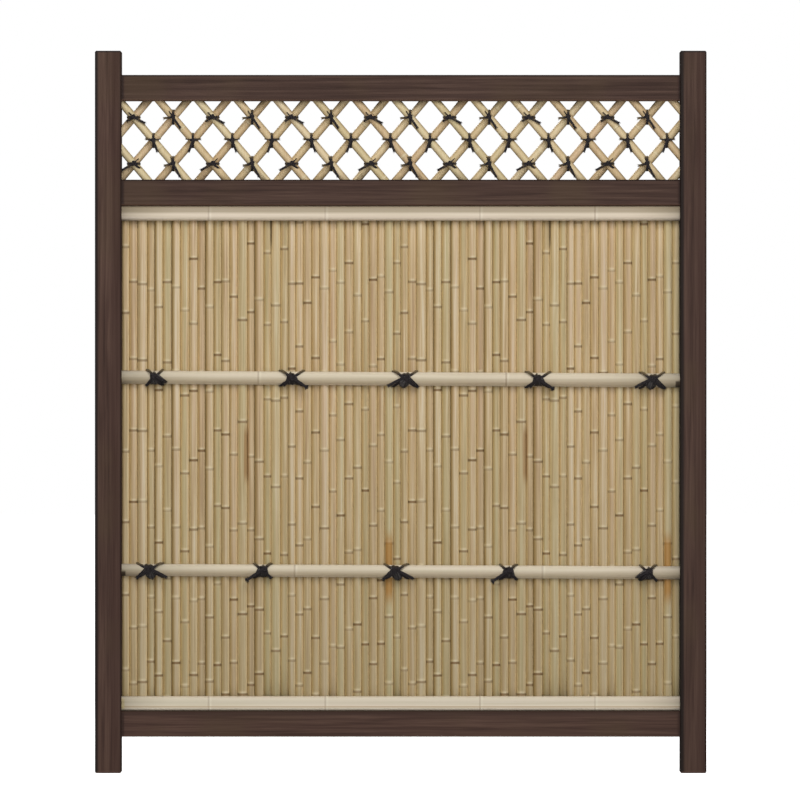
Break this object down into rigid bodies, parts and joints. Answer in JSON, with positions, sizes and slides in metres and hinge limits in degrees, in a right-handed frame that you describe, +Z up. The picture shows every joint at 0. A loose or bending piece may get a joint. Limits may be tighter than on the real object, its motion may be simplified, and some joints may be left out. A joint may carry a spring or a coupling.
{
  "type": "bamboo fence panel",
  "caption": "Garden fence panel: a dark timber frame around a close wall of upright bamboo canes, with split battens and a diamond lattice on top, lashed with palm rope.",
  "frame": {"origin": "on the ground, under the middle of the panel, halfway between its front and back", "axes": "+Z up the posts, +X to the right seen from the front, the front with the rope knots faces -Y"},
  "size_m": [1.016, 0.064, 1.2],
  "materials": {
    "frame_timber": "dark stain, matt",
    "cane_bamboo": "dry bamboo skin",
    "batten_bamboo": "pale bamboo skin",
    "lattice_bamboo": "dry bamboo skin",
    "palm_rope": "dyed palm fibre"
  },
  "bodies": {
    "root": {"left_post": "frame_timber", "right_post": "frame_timber", "top_rail": "frame_timber", "middle_rail": "frame_timber", "bottom_rail": "frame_timber", "front_batten_top": "batten_bamboo", "front_batten_upper": "batten_bamboo", "front_batten_lower": "batten_bamboo", "front_batten_bottom": "batten_bamboo", "rear_batten_top": "batten_bamboo", "rear_batten_upper": "batten_bamboo", "rear_batten_lower": "batten_bamboo", "rear_batten_bottom": "batten_bamboo", "upper_lashing_1": "palm_rope", "upper_lashing_2": "palm_rope", "upper_lashing_3": "palm_rope", "upper_lashing_4": "palm_rope", "upper_lashing_5": "palm_rope", "lower_lashing_1": "palm_rope", "lower_lashing_2": "palm_rope", "lower_lashing_3": "palm_rope", "lower_lashing_4": "palm_rope", "lower_lashing_5": "palm_rope", "lattice_lashings_top": "palm_rope", "lattice_lashings_middle": "palm_rope", "lattice_lashings_bottom": "palm_rope", "lattice_canes_front_1": "lattice_bamboo", "lattice_canes_front_2": "lattice_bamboo", "lattice_canes_front_3": "lattice_bamboo", "lattice_canes_front_4": "lattice_bamboo", "lattice_canes_rear_1": "lattice_bamboo", "lattice_canes_rear_2": "lattice_bamboo", "lattice_canes_rear_3": "lattice_bamboo", "lattice_canes_rear_4": "lattice_bamboo", "fence_canes_01": "cane_bamboo", "fence_canes_02": "cane_bamboo", "fence_canes_03": "cane_bamboo", "fence_canes_04": "cane_bamboo", "fence_canes_05": "cane_bamboo", "fence_canes_06": "cane_bamboo", "fence_canes_07": "cane_bamboo", "fence_canes_08": "cane_bamboo", "fence_canes_09": "cane_bamboo", "fence_canes_10": "cane_bamboo", "fence_canes_11": "cane_bamboo", "fence_canes_12": "cane_bamboo", "fence_canes_13": "cane_bamboo", "fence_canes_14": "cane_bamboo", "fence_canes_15": "cane_bamboo", "fence_canes_16": "cane_bamboo", "fence_canes_17": "cane_bamboo"}
  },
  "joints": []
}
